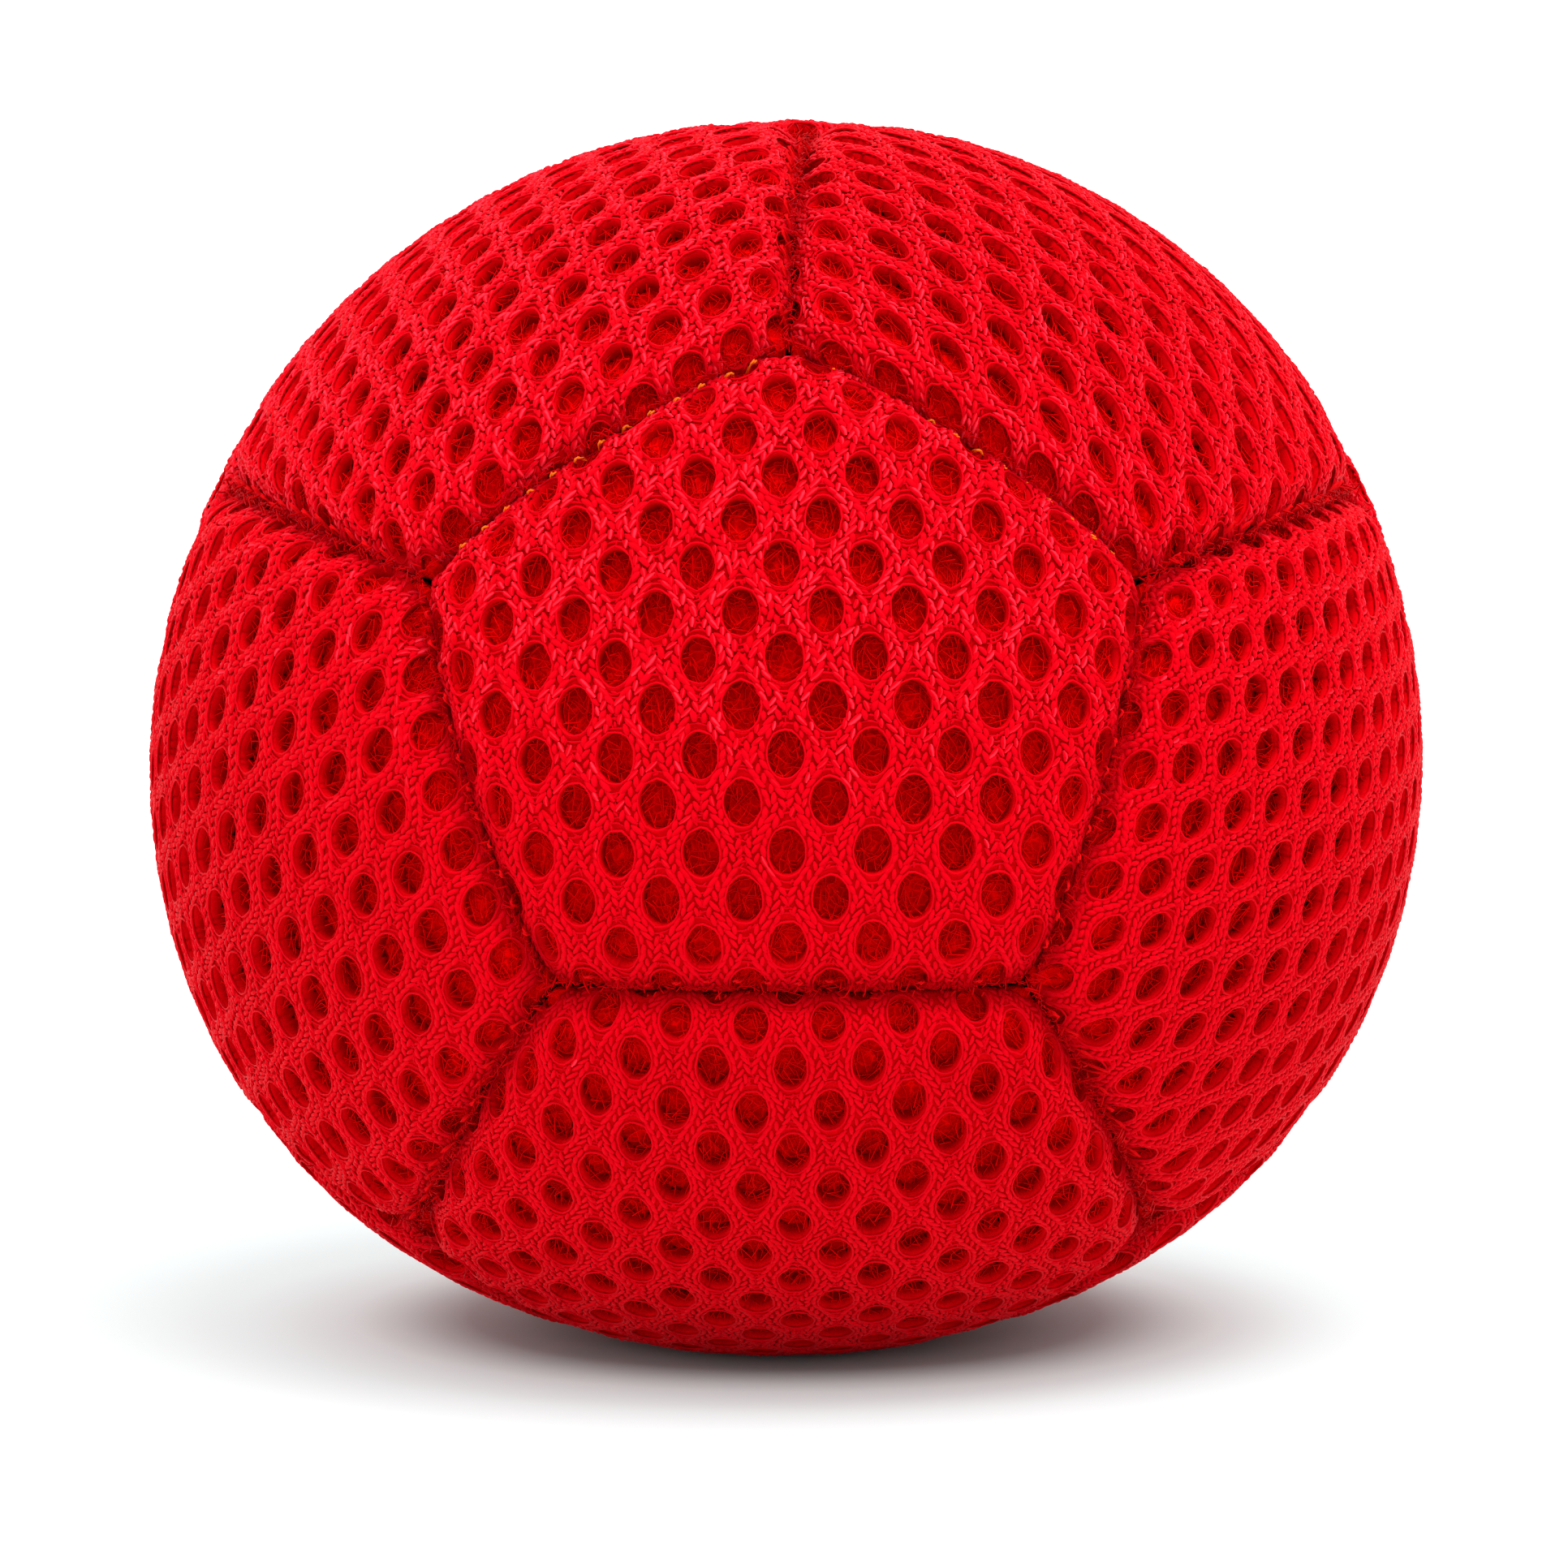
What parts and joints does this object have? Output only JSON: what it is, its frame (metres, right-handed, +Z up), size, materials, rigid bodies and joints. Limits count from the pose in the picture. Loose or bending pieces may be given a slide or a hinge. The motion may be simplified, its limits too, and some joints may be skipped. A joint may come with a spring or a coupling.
{
  "type": "footbag",
  "caption": "Round pellet-filled footbag sewn from red pentagonal spacer-mesh panels, slumped slightly onto one seam corner, for kicking and juggling.",
  "frame": {"origin": "on the table, under the middle of the ball", "axes": "+Z up through the two seam corners at top and bottom; -Y towards the front panel; +X to the right as seen from the front"},
  "size_m": [0.0618, 0.0618, 0.0596],
  "materials": {
    "mesh_cloth": "soft open spacer mesh, slight yarn sheen",
    "seam_thread": "twisted polyester thread",
    "pellets": "small rounded pellets"
  },
  "bodies": {
    "root": {"panel_back": "mesh_cloth", "panel_back_left": "mesh_cloth", "panel_back_right": "mesh_cloth", "panel_bottom_front": "mesh_cloth", "panel_bottom_left": "mesh_cloth", "panel_bottom_right": "mesh_cloth", "panel_front": "mesh_cloth", "panel_left": "mesh_cloth", "panel_right": "mesh_cloth", "panel_top_back": "mesh_cloth", "panel_top_left": "mesh_cloth", "panel_top_right": "mesh_cloth", "pellet_filling": "pellets", "thread_back_bottom_left": "seam_thread", "thread_back_bottom_right": "seam_thread", "thread_back_left_back": "seam_thread", "thread_back_left_bottom_left": "seam_thread", "thread_back_left_left": "seam_thread", "thread_back_right_back": "seam_thread", "thread_back_right_bottom_right": "seam_thread", "thread_back_right_right": "seam_thread", "thread_bottom_front_bottom_left": "seam_thread", "thread_bottom_front_bottom_right": "seam_thread", "thread_bottom_left_bottom_right": "seam_thread", "thread_front_bottom_front": "seam_thread", "thread_front_left": "seam_thread", "thread_front_right": "seam_thread", "thread_left_bottom_front": "seam_thread", "thread_left_bottom_left": "seam_thread", "thread_right_bottom_front": "seam_thread", "thread_right_bottom_right": "seam_thread", "thread_top_back_back": "seam_thread", "thread_top_back_back_left": "seam_thread", "thread_top_back_back_right": "seam_thread", "thread_top_left_back_left": "seam_thread", "thread_top_left_front": "seam_thread", "thread_top_left_left": "seam_thread", "thread_top_left_top_back": "seam_thread", "thread_top_left_top_right": "seam_thread", "thread_top_right_back_right": "seam_thread", "thread_top_right_front": "seam_thread", "thread_top_right_right": "seam_thread", "thread_top_right_top_back": "seam_thread"}
  },
  "joints": []
}
